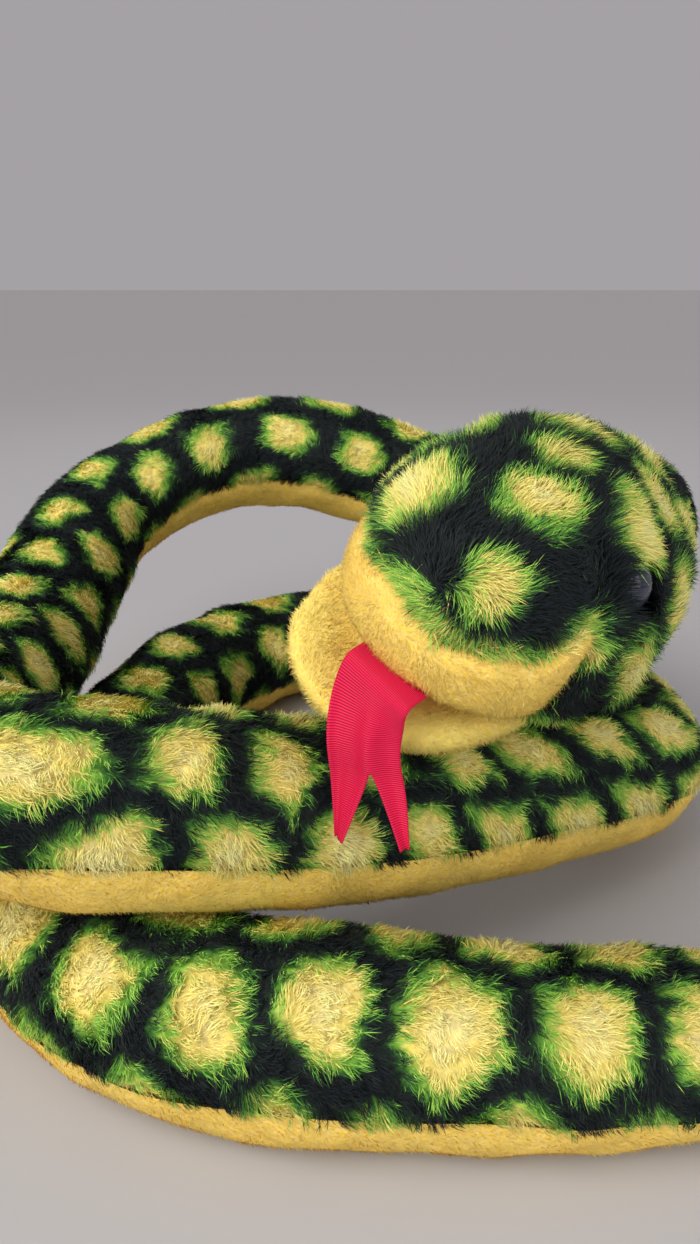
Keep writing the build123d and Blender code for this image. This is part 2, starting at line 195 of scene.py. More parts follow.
def dice(a, b, seed):
    """A fixed random number from 0 to 1 for each pair of whole numbers."""
    return np.modf(np.abs(np.sin(a * 127.1 + b * 311.7 + seed * 74.7)) * 43758.5453)[0]


def between(x, stops, values):
    """Rows of values, read between their stops."""
    return np.stack([np.interp(x, stops, values[:, k]) for k in range(values.shape[1])], 1)


def running_mean(values, reach):
    """Each value averaged with that many neighbours on each side."""
    width = 2 * reach + 1
    return np.convolve(np.pad(values, reach, "edge"), np.ones(width) / width, "valid")


def nearest_cells(u, v, cell, wobble, seed, lean=0):
    """Distances to the two nearest points of a staggered, uneven grid, and the nearest point."""
    first = np.full(len(u), 1e9)
    second = np.full(len(u), 1e9)
    at = np.zeros((len(u), 2))
    base_row = np.round(v / cell)
    for down in (-1, 0, 1):
        r = base_row + down
        shift = 0.5 * np.mod(r, 2)
        base = np.round(u / cell - shift)
        for over in (-1, 0, 1):
            c = base + over
            cu = (c + shift + wobble * (dice(r, c, seed) - 0.5)) * cell
            cv = (r + wobble * (dice(r, c, seed + 1) - 0.5)) * cell
            d = np.hypot(u - cu + lean * (v - cv), v - cv)
            nearer = d < first
            second = np.where(nearer, first, np.minimum(second, d))
            at[nearer] = np.stack([cu, cv], 1)[nearer]
            first = np.where(nearer, d, first)
    return first, second, at


# ---- the body's form ----
def smooth_line(points, step):
    """Even points along a smooth NURBS line round the corners given."""
    curve = bpy.data.curves.new("line", "CURVE")
    curve.dimensions = "3D"
    spline = curve.splines.new("NURBS")
    spline.points.add(len(points) - 1)
    for place, corner in zip(spline.points, points):
        place.co = (*corner, 1)
    spline.order_u = 3
    spline.use_endpoint_u = True
    spline.resolution_u = 16
    holder = bpy.data.objects.new("line", curve)
    mesh = bpy.data.meshes.new_from_object(holder)
    line = np.array([v.co for v in mesh.vertices], float)
    bpy.data.objects.remove(holder)
    along = np.concatenate([[0], np.cumsum(np.linalg.norm(np.diff(line, axis=0), axis=1))])
    even = np.linspace(0, along[-1], max(2, round(along[-1] / step)))
    return even, between(even, along, line)


class Body:
    """The whole tube from inside the head to the tip of the tail."""

    def __init__(self):
        in_head = np.array(NOD_PIVOT) + IN_HEAD * np.array(SNOUT)
        corners = [c for *_, group in ROUTE for c in group]
        tail_middle = (np.array(TAIL_PIVOT) + np.array(TAIL_TIP)) / 2
        points = [in_head, NOD_PIVOT, TURN_PIVOT, *corners, TAIL_PIVOT, tail_middle, TAIL_TIP]
        self.s, self.centre = smooth_line(np.array(points, float) * MM, STEP)
        self.tangent = unit(np.gradient(self.centre, axis=0))
        self.side = unit(np.cross([0, 0, 1], self.tangent))
        self.up = np.cross(self.tangent, self.side)
        bend = np.gradient(self.tangent, axis=0) / STEP
        self.bend = np.stack([running_mean(bend[:, k], 4) for k in range(3)], 1)
        self.turn = self.find(TURN_PIVOT)
        self.nod = self.find(NOD_PIVOT)
        self.tail = self.find(TAIL_PIVOT)
        self.end = self.s[-1] + TIP_R
        starts = [self.turn]
        for before, after in zip(ROUTE, ROUTE[1:]):
            starts.append(self.find((np.array(before[-1][-1]) + np.array(after[-1][0])) / 2))
        self.starts = [*starts, self.tail]
        middles = [(a + b) / 2 for a, b in zip(self.starts, self.starts[1:])]
        rolls, rows, shifts, cells = ([item[k] for item in ROUTE] for k in (1, 2, 3, 4))
        self.roll = self.soften([self.nod, *middles], [HEAD_ROLL, *rolls])
        self.row = self.soften(middles, rows) * MM
        self.shift = self.soften(middles, shifts) * MM
        self.cell = self.soften(middles, cells) * MM
        spots = np.cumsum(np.gradient(self.s) / self.cell)
        self.spots = spots - np.interp(self.find(PRINT_AT), self.s, spots) + PRINT_PART
        lean_from, lean_to = self.find(LEAN_FROM), self.find(LEAN_TO)
        inside = ease(self.s, lean_from, lean_from + CELL) * (1 - ease(self.s, lean_to - CELL, lean_to))
        self.lean = LEAN * inside
        slimmed = [self.find(corner) for corner, _ in SLIMMING]
        radii = [share * BODY_R for _, share in SLIMMING]
        self.radius = np.interp(self.s, [*slimmed, self.s[-1]], [*radii, TIP_R])

    def soften(self, middles, values):
        """A quantity given for each stretch, with smooth changes between them."""
        return running_mean(np.interp(self.s, middles, values), 12)

    def find(self, point):
        """The distance along the tube that is nearest to a point in mm."""
        away = np.linalg.norm(self.centre - np.array(point, float) * MM, axis=1)
        return self.s[np.argmin(away)]

    def read(self, values, s):
        """A quantity known all along the tube, at the distances s."""
        if values.ndim == 1:
            return np.interp(s, self.s, values)
        return between(s, self.s, values)

    def surface(self, s, v):
        """Places on the fabric, from distances along the tube and round from the back's middle."""
        past_end = np.maximum(s - self.s[-1], 0)
        centre = self.read(self.centre, s) + past_end[:, None] * self.read(self.tangent, s)
        angle = v / BODY_R
        turned = angle + np.radians(self.read(self.roll, s))
        up, side = self.read(self.up, s), self.read(self.side, s)
        out = np.cos(turned)[:, None] * up + np.sin(turned)[:, None] * side
        radius = self.read(self.radius, s)
        round_end = np.sqrt(np.maximum(1 - (past_end / TIP_R) ** 2, 0))
        rough = centre + out * radius[:, None]
        # loose filling: broad lumps, and folds where a bend squeezes the fabric
        swell = sum(height * MM * ripple(rough, length * MM, seed) for height, length, seed in LUMPS)
        squeeze = np.maximum((self.read(self.bend, s) * out).sum(1), 0) * BODY_R
        folds = np.sin(s / FOLD_LENGTH * 2 * math.pi + 1.5 * ripple(rough, 4 * FOLD_LENGTH, 5))
        swell += FOLD * ease(squeeze, 0.15, 0.6) * (folds - 0.6)
        from_seam = np.abs(np.abs(angle) - (math.pi - BELLY_HALF)) * radius
        swell -= SEAM * np.exp(-((from_seam / SEAM_WIDTH) ** 2))
        # all of it fades out inside the head and at the tail's tip
        swell *= ease(s, 14 * MM, 30 * MM) * ease(self.end - s, 5 * MM, 60 * MM)
        place = centre + out * ((radius + swell) * round_end)[:, None]
        # on the floor it is pressed flat, and spreads a little to the sides
        pressed = np.maximum(PRESSED - place[:, 2], 0)
        sideways = unit(out * np.array([1, 1, 0]))
        place += sideways * (SPREAD * pressed)[:, None]
        place[:, 2] = np.maximum(place[:, 2], FLOOR_GAP)
        return place


body = Body()


# ---- meshes ----
def make_mesh(name, places, faces):
    """A smooth mesh object from rows of places and rows of face corners."""
    mesh = bpy.data.meshes.new(name)
    corners = faces.shape[1]
    mesh.vertices.add(len(places))
    mesh.vertices.foreach_set("co", places.astype(np.float32).ravel())
    mesh.loops.add(faces.size)
    mesh.loops.foreach_set("vertex_index", faces.astype(np.int32).ravel())
    mesh.polygons.add(len(faces))
    mesh.polygons.foreach_set("loop_start", np.arange(0, faces.size, corners, dtype=np.int32))
    mesh.update(calc_edges=True)
    mesh.shade_smooth()
    piece = bpy.data.objects.new(name, mesh)
    bpy.context.scene.collection.objects.link(piece)
    return piece


def grid_faces(rows, columns):
    """Four-cornered faces of a grid of that many places each way."""
    index = np.arange(rows * columns).reshape(rows, columns)
    corners = [index[:-1, :-1], index[1:, :-1], index[1:, 1:], index[:-1, 1:]]
    return np.stack(corners, -1).reshape(-1, 4)


def read_vertices(piece, what):
    """Rows of three numbers, one for each vertex."""
    values = np.zeros(len(piece.data.vertices) * 3, np.float32)
    piece.data.vertices.foreach_get(what, values)
    return values.reshape(-1, 3).astype(float)


def places_of(piece):
    return read_vertices(piece, "co")


def normals_of(piece):
    return read_vertices(piece, "normal")


def move_vertices(piece, places):
    piece.data.vertices.foreach_set("co", places.astype(np.float32).ravel())


def apply_modifiers(piece):
    """Makes what a piece's modifiers give its own mesh."""
    bpy.context.view_layer.update()
    made = bpy.data.meshes.new_from_object(piece.evaluated_get(bpy.context.evaluated_depsgraph_get()))
    piece.modifiers.clear()
    piece.data = made


def paint(piece, colours):
    """Stores a colour at each vertex for the piece's material."""
    layer = piece.data.color_attributes.new("print", "FLOAT_COLOR", "POINT")
    full = np.ones((len(colours), 4), np.float32)
    full[:, :3] = colours
    layer.data.foreach_set("color", full.ravel())


# ---- colours ----
TONES = [  # from the middle of the net to the middle of a spot
    ("ink", (0.006, 0.010, 0.012)),
    ("black", (0.012, 0.020, 0.016)),
    ("bottle", (0.034, 0.120, 0.028)),
    ("green", (0.115, 0.345, 0.043)),
    ("lime", (0.330, 0.590, 0.080)),
    ("straw", (0.860, 0.735, 0.180)),
    ("yellow", (0.970, 0.795, 0.225)),
    ("cream", (0.990, 0.850, 0.340)),
]
# the depths in a spot at which each tone gives way to the next
TONE_STEPS = np.array([1.4 * MM, NET, 3.9 * MM, 4.9 * MM, GREEN_EDGE, 8.5 * MM, 11.6 * MM])
BELLY_TONES = [
    ("amber", (0.880, 0.580, 0.115)),
    ("gold", (0.920, 0.635, 0.135)),
    ("lemon", (0.960, 0.700, 0.165)),
    ("lit_lemon", (0.990, 0.810, 0.200)),  # only the jaw has this one: a lighter lemon, painted light where light falls on the jaw
]


def tone_colour(depth):
    """Colours blended between the tones, for places that deep into a spot."""
    middles = (TONE_STEPS[1:] + TONE_STEPS[:-1]) / 2
    stops = [0, *middles, TONE_STEPS[-1] + 2 * MM]
    return between(depth, stops, np.array([colour for _, colour in TONES]))


def ragged_edge(places, broad):
    """What the pile adds to the depth, so that the print's edges are ragged."""
    return 1.2 * MM * ripple(places, broad, 21) + 0.9 * MM * ripple(places, 4 * MM, 22)


def body_depth(u, v, places):
    """How deep into a spot of the body's print each place lies."""
    rows = (v - body.read(body.shift, u)) / body.read(body.row, u)
    along = body.read(body.spots, u) * CELL
    lean = body.read(body.lean, u)
    first, second, _ = nearest_cells(along, rows * CELL, CELL, wobble=0.26, seed=5, lean=lean)
    longer = body.read(body.cell, u) - CELL
    return np.maximum((second - first) / 2 + ragged_edge(places, 10 * MM) - WIDER_NET * longer, 0)


def head_axes(places):
    """Places in the head's own axes."""
    return (places - np.array(NOD_PIVOT) * MM) @ HEAD_AXES.T


def from_head(local):
    """Places in the frame, from the head's own axes."""
    return np.array(NOD_PIVOT) * MM + local @ HEAD_AXES


def head_radius(x):
    """Radius of the head's form that far along the snout."""
    if x < WIDEST_AT:
        return BODY_R + (HEAD_R - BODY_R) * math.sin(math.pi / 2 * max(x - NAPE, 0) / (WIDEST_AT - NAPE))
    return HEAD_R * math.sqrt(max(1 - ((x - WIDEST_AT) / NOSE) ** 2.4, 0.05))


def lip_degrees(local):
    """Where places lie along the lip, in degrees from the snout's tip to the left."""
    around = np.degrees(np.arctan2(local[:, 1], local[:, 0] - LIP_MIDDLE))
    return around - LIP_SLANT * local[:, 2] / MM


def lip_height(local, aside=0):
    """Height of the lip's seam in the head's own axes, read that many degrees aside."""
    return np.interp(lip_degrees(local) + aside, *np.array(LIP_LINE).T) * MM


def head_depth(places):
    """How deep into one of the head's listed spots each place lies."""
    local = head_axes(places)
    depth = np.zeros(len(places))
    for along, angle, size in HEAD_SPOTS:
        turn = math.radians(angle)
        reach = head_radius(along * MM)
        spot = np.array([along * MM, reach * math.sin(turn), reach * math.cos(turn)])
        inside = size * MM - np.linalg.norm(local - spot, axis=1)
        depth = np.maximum(depth, 0.85 * inside + GREEN_EDGE)
    above_lip = np.maximum(local[:, 2] - lip_height(local), 0)
    fringe = (FRINGE - above_lip) * ease(local[:, 0], 85 * MM, 105 * MM)
    return np.maximum(np.maximum(depth, fringe) + ragged_edge(places, 9 * MM), 0)


# ---- materials ----
def base_material(name, colour, roughness):
    material = bpy.data.materials.new(name)
    material.use_nodes = True
    shader = material.node_tree.nodes["Principled BSDF"]
    shader.inputs["Base Color"].default_value = (*colour, 1)
    shader.inputs["Roughness"].default_value = roughness
    material.diffuse_color = (*colour, 1)
    return material, material.node_tree, shader


def noise(tree, scale, detail):
    place = tree.nodes.new("ShaderNodeTexCoord")
    texture = tree.nodes.new("ShaderNodeTexNoise")
    texture.inputs["Scale"].default_value = scale
    texture.inputs["Detail"].default_value = detail
    texture.inputs["Roughness"].default_value = 0.6
    tree.links.new(place.outputs["Object"], texture.inputs["Vector"])
    return texture


def spread(tree, texture, low, high):
    """A texture's middle range mapped to low ... high."""
    fit = tree.nodes.new("ShaderNodeMapRange")
    fit.inputs["From Min"].default_value = 0.3
    fit.inputs["From Max"].default_value = 0.7
    fit.inputs["To Min"].default_value = low
    fit.inputs["To Max"].default_value = high
    tree.links.new(texture.outputs["Fac"], fit.inputs["Value"])
    return fit.outputs["Result"]


def bump(tree, shader, texture, strength, distance):
    node = tree.nodes.new("ShaderNodeBump")
    node.inputs["Strength"].default_value = strength
    node.inputs["Distance"].default_value = distance
    tree.links.new(texture.outputs["Fac"], node.inputs["Height"])
    tree.links.new(node.outputs["Normal"], shader.inputs["Normal"])


def colour_mix(tree, shader, share, low, high):
    """A base colour between low and high, by that share."""
    mix = tree.nodes.new("ShaderNodeMix")
    mix.data_type = "RGBA"
    mix.inputs["A"].default_value = (*low, 1)
    mix.inputs["B"].default_value = (*high, 1)
    tree.links.new(share, mix.inputs["Factor"])
    tree.links.new(mix.outputs["Result"], shader.inputs["Base Color"])


def lighter(colour, gain, lift=0.0):
    """A colour made brighter, with no channel past 1."""
    return [min(1, gain * channel + lift) for channel in colour]


def plush_material(name, shade, darkest_painted_shade):
    """The pile's skin: the print's dyed colour, broken up by painted shade of darker roots and painted
    light of lighter tips.
    """
    material, tree, shader = base_material(name, shade, 0.85)
    printed = tree.nodes.new("ShaderNodeAttribute")
    printed.attribute_name = "print"
    fine = noise(tree, scale=900, detail=3.0)
    painted_tuft_light = noise(tree, scale=210, detail=2.0)
    tint = tree.nodes.new("ShaderNodeHueSaturation")
    tree.links.new(printed.outputs["Color"], tint.inputs["Color"])
    # painted shade and light: the value darkens and lightens in tuft-sized patches
    tree.links.new(spread(tree, painted_tuft_light, darkest_painted_shade, 1.1), tint.inputs["Value"])
    tree.links.new(spread(tree, fine, 0.9, 1.12), tint.inputs["Saturation"])
    tree.links.new(tint.outputs["Color"], shader.inputs["Base Color"])
    tree.links.new(spread(tree, fine, 0.75, 0.95), shader.inputs["Roughness"])
    bump(tree, shader, fine, strength=0.7, distance=0.8 * MM)
    shader.inputs["Specular IOR Level"].default_value = 0.2
    return material


def strand_material(name, colour):
    material, _, shader = base_material(name, colour, 0.72)
    shader.inputs["Specular IOR Level"].default_value = 0.25
    return material


def strand_set(tones, lift=0.0):
    """Materials for the lower and the upper parts of strands, one of each for each tone. The upper ones are
    lighter copies: painted light, for the light that the tips catch above the shaded roots.
    """
    lower = [strand_material(f"pile_{name}", colour) for name, colour in tones]
    upper = [strand_material(f"tips_{name}", lighter(colour, 1.15, lift)) for name, colour in tones]
    return lower, upper


def satin_material():
    """A ribbon's satin, with fine ribs across it, and painted shade and sheen: its red darker and lighter
    along the ribs.
    """
    material, tree, shader = base_material("tongue_satin", (0.80, 0.015, 0.08), 0.45)
    where = tree.nodes.new("ShaderNodeUVMap")
    ribs_and_painted_shade = tree.nodes.new("ShaderNodeTexWave")
    ribs_and_painted_shade.bands_direction = "Y"
    ribs_and_painted_shade.inputs["Scale"].default_value = 4.6
    ribs_and_painted_shade.inputs["Distortion"].default_value = 0.8
    ribs_and_painted_shade.inputs["Detail"].default_value = 1.0
    tree.links.new(where.outputs["UV"], ribs_and_painted_shade.inputs["Vector"])
    # painted shade and sheen: the red turns darker and lighter with the ribs
    colour_mix(tree, shader, ribs_and_painted_shade.outputs["Fac"], (0.46, 0.006, 0.034), (0.93, 0.018, 0.095))
    threads = noise(tree, scale=2200, detail=2.0)
    tree.links.new(spread(tree, threads, 0.32, 0.55), shader.inputs["Roughness"])
    bump(tree, shader, ribs_and_painted_shade, strength=0.6, distance=0.35 * MM)
    shader.inputs["Specular IOR Level"].default_value = 0.15
    return material


def plastic_material(name, colour, roughness, coat):
    material, tree, shader = base_material(name, colour, roughness)
    wear = noise(tree, scale=260, detail=5.0)
    colour_mix(tree, shader, spread(tree, wear, 0.0, 0.6), colour, lighter(colour, 1.7, 0.004))
    tree.links.new(spread(tree, wear, roughness, roughness + 0.1), shader.inputs["Roughness"])
    bump(tree, shader, wear, strength=0.03, distance=0.1 * MM)
    shader.inputs["Coat Weight"].default_value = coat
    shader.inputs["Specular IOR Level"].default_value = 0.2
    return material


def thread_material():
    material, tree, shader = base_material("thread", (0.80, 0.60, 0.14), 0.6)
    twist = noise(tree, scale=1500, detail=2.0)
    tree.links.new(spread(tree, twist, 0.45, 0.8), shader.inputs["Roughness"])
    bump(tree, shader, twist, strength=0.5, distance=0.2 * MM)
    return material


back_plush = plush_material("patterned_plush", (0.05, 0.09, 0.05), 0.55)
belly_plush = plush_material("yellow_plush", (0.86, 0.62, 0.12), 0.88)
back_strands, back_lit_tips = strand_set(TONES, 0.003)
belly_strands, belly_lit_tips = strand_set(BELLY_TONES)


# ---- the pile ----
# Each kind of pile: strands for each square metre, their length, how far they stand up in radians,
# their width, the size of the clumps that their tips gather in, the share of the way that they are
# pulled to a clump's middle, and the materials of their lower and upper parts, the upper ones lighter as
# painted light.
Pile = namedtuple("Pile", "density length rise width clump pull lower upper")
BACK_PILE = Pile(2.4e6, 4.5 * MM, 0.55, 0.29 * MM, 4.6 * MM, 0.7, back_strands, back_lit_tips)
BELLY_PILE = Pile(1.2e6, 1.8 * MM, 0.4, 0.38 * MM, 3.0 * MM, 0.1, belly_strands, belly_lit_tips)
HEAD_PILE = Pile(4.0e6, 7.2 * MM, 0.65, 0.31 * MM, 5.2 * MM, 0.6, back_strands, back_lit_tips)
LIP_PILE = Pile(2.2e6, 2.4 * MM, 0.4, 0.36 * MM, 4.0 * MM, 0.3, belly_strands, belly_lit_tips)
SHORT_PILE = 3.0 * MM            # pile shorter than this has straight strands
SOFT_LIGHT = 0.35                # how far strands' shading leaves the fabric's own


def along_fabric(way, normals):
    """A direction laid flat on the fabric."""
    return unit(way - normals * (way * normals).sum(1, keepdims=True))


def scatter(places, triangles, density):
    """Even random roots on a mesh: their triangle's corners and their shares of each corner."""
    a, b, c = (places[triangles[:, k]] for k in range(3))
    area = np.linalg.norm(np.cross(b - a, c - a), axis=1) / 2
    count = np.floor(area * density + rng.random(len(area))).astype(int)
    owner = np.repeat(np.arange(len(triangles)), count)
    share = rng.random((len(owner), 2))
    flip = share.sum(1) > 1
    share[flip] = 1 - share[flip]
    weights = np.column_stack([1 - share.sum(1), share])
    return triangles[owner], weights


def spread_over(values, corners, weights):
    """Rows of a vertex quantity, read at the roots."""
    return (values[corners] * weights[:, :, None]).sum(1)


def triangles_of(piece):
    piece.data.calc_loop_triangles()
    found = np.zeros(len(piece.data.loop_triangles) * 3, np.int32)
    piece.data.loop_triangles.foreach_get("vertices", found)
    return found.reshape(-1, 3)


def nearest_clump(fabric, size):
    """The distance to the middle of the nearest clump of pile, and where on the fabric it is."""
    near, _, at = nearest_cells(fabric[:, 0], fabric[:, 1], size, wobble=0.9, seed=9)
    return near, at


def yellow_tones(roots, middle, swing, length, seed):
    """The number of a tone for each yellow strand, in soft patches of that length."""
    mixed = middle + swing * ripple(roots, length, seed) + rng.normal(0, 0.5, len(roots))
    return np.clip(np.round(mixed), 0, 2).astype(int)


def grow(skin, kind, roots, normals, flow, fabric, tone, longer=1, lifted=0):
    """A skin's tapered strands. They lean along flow, and their tips gather in clumps."""
    count = len(roots)
    flow = along_fabric(flow, normals)
    side = np.cross(normals, flow)
    twist = rng.normal(0, 0.3, count) + 0.7 * ripple(roots, 20 * MM, 31)
    lean = np.cos(twist)[:, None] * flow + np.sin(twist)[:, None] * side
    length = kind.length * longer * rng.uniform(0.7, 1.15, count)
    rise = kind.rise + lifted + rng.normal(0, 0.16, count) + 0.15 * ripple(roots, 14 * MM, 32)
    rise = np.clip(rise, 0.08, 1.3)
    across = nearest_clump(fabric, kind.clump)[1] - fabric
    gather = kind.pull * (across[:, :1] * flow + across[:, 1:] * side)
    way = np.cos(rise)[:, None] * lean + np.sin(rise)[:, None] * normals
    tip = roots + length[:, None] * way + gather
    arch = roots + 0.5 * (tip - roots) + normals * (0.16 * length)[:, None] - 0.1 * gather
    spin = rng.normal(0, 0.6, count)
    wide = unit(np.cross(tip - roots, normals))
    wide = np.cos(spin)[:, None] * wide + np.sin(spin)[:, None] * normals
    half = (kind.width * rng.uniform(0.7, 1.3, count) / 2)[:, None] * wide
    sunk = roots - 0.4 * MM * normals
    if kind.length < SHORT_PILE:
        rows = np.stack([sunk - half, sunk + half, tip], 1)
        pattern, slots = [(0, 1, 2)], [tone]
    else:
        rows = np.stack([sunk - half, sunk + half, arch + 0.8 * half, arch - 0.8 * half, tip], 1)
        # the tip's face takes the lighter upper material: painted light
        pattern, slots = [(0, 1, 2), (0, 2, 3), (3, 2, 4)], [tone, tone, tone + len(kind.lower)]
    # no strand goes through the floor
    rows[:, :, 2] = np.maximum(rows[:, :, 2], FLOOR_GAP / 2)
    each = rows.shape[1]
    faces = (each * np.arange(count)[:, None, None] + np.array(pattern)[None]).reshape(-1, 3)
    pile = make_mesh(f"{skin.name}_pile", rows.reshape(-1, 3), faces)
    for material in [*kind.lower, *kind.upper]:
        pile.data.materials.append(material)
    pile.data.polygons.foreach_set("material_index", np.stack(slots, 1).ravel().astype(np.int32))
    # strands take their light mostly as the fabric under them does, which looks soft
    soft = unit(normals + SOFT_LIGHT * (0.5 * lean + rng.normal(0, 0.5, (count, 3))))
    pile.data.normals_split_custom_set_from_vertices(np.repeat(soft, each, axis=0))
    return pile


def cover_patterned(skin, depth):
    """Prints the pattern on a skin, with painted shade: a little darker than the pile over it, as the roots
    lie in shade.
    """
    # the factor 0.95 is painted shade under the pile
    paint(skin, 0.95 * tone_colour(depth))
    skin.data.materials.append(back_plush)


def cover_yellow(skin, shade, painted_light_steps=0):
    """Colours a yellow skin between two neighbouring tones, moved lighter by painted_light_steps as painted
    light.
    """
    gold, lemon = (np.array(BELLY_TONES[k + painted_light_steps][1]) for k in (1, 2))
    paint(skin, gold + shade[:, None] * (lemon - gold))
    skin.data.materials.append(belly_plush)


def finish_skin(skin, pile, slot_name, fill, nodes, place):
    """Hides the CAD nodes that a skin replaces, and puts it and its pile on their body."""
    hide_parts(*nodes)
    for piece in (skin, pile):
        place(piece)


# ---- body skins ----
BACK_EDGE = (math.pi - BELLY_HALF) * BODY_R
WHOLE_ROUND = 2 * math.pi * BODY_R
GRAIN = 1.5 * MM                 # between the back's vertices, half as far as the belly's


def tube_piece(name, start, end, low, high, grain):
    """A smooth stretch of the tube, with its vertices' places on the fabric and in the frame."""
    rows = max(3, round((end - start) / grain))
    columns = max(3, round((high - low) / grain))
    s, v = np.meshgrid(np.linspace(start, end, rows), np.linspace(low, high, columns), indexing="ij")
    fabric = np.column_stack([s.ravel(), v.ravel()])
    places = body.surface(fabric[:, 0], fabric[:, 1])
    return make_mesh(name, places, grid_faces(rows, columns)), fabric, places


def tube_roots(skin, fabric, places, normals, density):
    """Roots on a stretch: their places, normals, places on the fabric and ways along the tube."""
    corners, weights = scatter(places, triangles_of(skin), density)
    known = (places, normals, fabric, body.read(body.tangent, fabric[:, 0]))
    roots, up, on_fabric, along = (spread_over(values, corners, weights) for values in known)
    return roots, unit(up), on_fabric, along


def back_panel(name, start, end):
    """The patterned panel of a stretch, and its pile."""
    skin, fabric, places = tube_piece(name, start, end, -BACK_EDGE, BACK_EDGE, GRAIN)
    normals = normals_of(skin)
    # the pile's clumps show as small mounds, but not where the floor presses
    near = nearest_clump(fabric, BACK_PILE.clump)[0]
    height = 0.9 * MM * (1 - np.clip(near / (3.2 * MM), 0, 1) ** 2) + 0.3 * MM * ripple(places, 3 * MM, 8)
    height *= ease(places[:, 2], 1 * MM, 5 * MM)
    move_vertices(skin, places + normals * height[:, None])
    cover_patterned(skin, body_depth(fabric[:, 0], fabric[:, 1], places))
    roots, up, fabric, along = tube_roots(skin, fabric, places, normals, BACK_PILE.density)
    # the pile is brushed along the body and hangs down both its sides
    around = np.cross(along, up)
    hang = -around * np.sign(fabric[:, 1:])
    flow = 0.75 * along + hang * (0.5 + 0.4 * ripple(roots, 70 * MM, 41))[:, None]
    flow += 0.35 * around * ripple(roots, 45 * MM, 42)[:, None]
    flow += 0.6 * hang * body.read(body.lean, fabric[:, 0])[:, None]
    depth = body_depth(fabric[:, 0], fabric[:, 1], roots) + rng.normal(0, 0.7 * MM, len(roots))
    longer = 1 + 0.15 * ripple(roots, 26 * MM, 45)
    return skin, grow(skin, BACK_PILE, roots, up, flow, fabric, np.digitize(depth, TONE_STEPS), longer)


def belly_panel(name, start, end):
    """The yellow panel of a stretch, and its pile."""
    skin, fabric, places = tube_piece(name, start, end, BACK_EDGE, WHOLE_ROUND - BACK_EDGE, 2 * GRAIN)
    cover_yellow(skin, np.clip(0.4 + 0.4 * ripple(places, 30 * MM, 12), 0, 0.8))
    roots, up, fabric, along = tube_roots(skin, fabric, places, normals_of(skin), BELLY_PILE.density)
    tone = yellow_tones(roots, 1, 0.9, 16 * MM, 13)
    return skin, grow(skin, BELLY_PILE, roots, up, along, fabric, tone)


def tube_stretch(name, start, end, nodes_back, nodes_belly, place):
    back = back_panel(f"{name}_back_plush", start, end)
    finish_skin(*back, "patterned_plush", BODY_FILL, nodes_back, place)
    belly = belly_panel(f"{name}_belly_plush", start, end)
    finish_skin(*belly, "yellow_plush", BODY_FILL, nodes_belly, place)


def build_tube():
    names = [item[0] for item in ROUTE]
    first, last = body.turn + JOIN, body.tail - JOIN
    edges = [first, *body.starts[1:-1], last]
    for name, start, end in zip(names, edges, edges[1:]):
        extra = ["body_filling"] if name == "front_upper" else []
        tube_stretch(name, start, end, [f"{name}_back", *extra], [f"{name}_belly"],
                     lambda piece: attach(piece, "coil"))
    half = (body.nod + body.turn) / 2
    start = body.find(np.array(NOD_PIVOT) + (HEAD_FROM / MM + 1) * np.array(SNOUT))

    # each of these only bakes a piece's place into its mesh
    def bend_head(piece):
        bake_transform(piece)

    def bend_turn(piece):
        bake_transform(piece)

    def bend_tail(piece):
        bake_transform(piece)

    tip = body.end - 0.05 * MM
    tube_stretch("neck_top", start, half, ["neck_back", "neck_filling"], ["neck_belly"], bend_head)
    tube_stretch("neck_base", half, first, [], [], bend_turn)
    tube_stretch("tail", last, tip, ["tail_back", "tail_filling"], ["tail_belly"], bend_tail)


build_tube()


# ---- head and jaw ----
def soft_copy(name, nodes, rounds):
    """One closed mesh from CAD nodes, softened by that many rounds of smoothing."""
    joined = bmesh.new()
    for node in nodes:
        joined.from_mesh(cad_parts[node].data)
    mesh = bpy.data.meshes.new(name)
    joined.to_mesh(mesh)
    joined.free()
    piece = bpy.data.objects.new(name, mesh)
    bpy.context.scene.collection.objects.link(piece)
    remesh = piece.modifiers.new("remesh", "REMESH")
    remesh.mode = "VOXEL"
    remesh.voxel_size = FORM_VOXEL
    smooth = piece.modifiers.new("smooth", "SMOOTH")
    smooth.iterations = rounds
    smooth.factor = 0.5
    apply_modifiers(piece)
    piece.data.shade_smooth()
    return piece


def keep_faces(source, name, keep):
    """A copy of a mesh with only the faces whose corners are all kept."""
    piece = source.copy()
    piece.data = source.data.copy()
    piece.name = name
    piece.data.name = name
    bpy.context.scene.collection.objects.link(piece)
    work = bmesh.new()
    work.from_mesh(piece.data)
    work.verts.ensure_lookup_table()
    gone = [f for f in work.faces if not all(keep[v.index] for v in f.verts)]
    bmesh.ops.delete(work, geom=gone, context="FACES")
    work.to_mesh(piece.data)
    work.free()
    return piece


def head_roots(skin, density):
    """Roots on a skin of the head: their places, normals, places on the fabric, distances to an eye."""
    places, normals = places_of(skin), normals_of(skin)
    corners, weights = scatter(places, triangles_of(skin), density)
    roots = spread_over(places, corners, weights)
    up = unit(spread_over(normals, corners, weights))
    local = head_axes(roots)
    eyes = [(EYE_X, side * HEAD_R * math.sin(EYE_ANGLE), HEAD_R * math.cos(EYE_ANGLE)) for side in (1, -1)]
    from_eye = np.min([np.linalg.norm(local - np.array(eye), axis=1) for eye in eyes], axis=0)
    in_mouth = (np.abs(local[:, 2] + MOUTH_DROP) < 1.6 * MM) & (np.abs(up @ HEAD_AXES[2]) > 0.75)
    free = (from_eye > EYE_CLEAR) & ~in_mouth
    turn = np.arctan2(local[:, 1], local[:, 2])
    fabric = np.stack([local[:, 0], turn * 38 * MM], 1)
    return roots[free], up[free], fabric[free], from_eye[free]


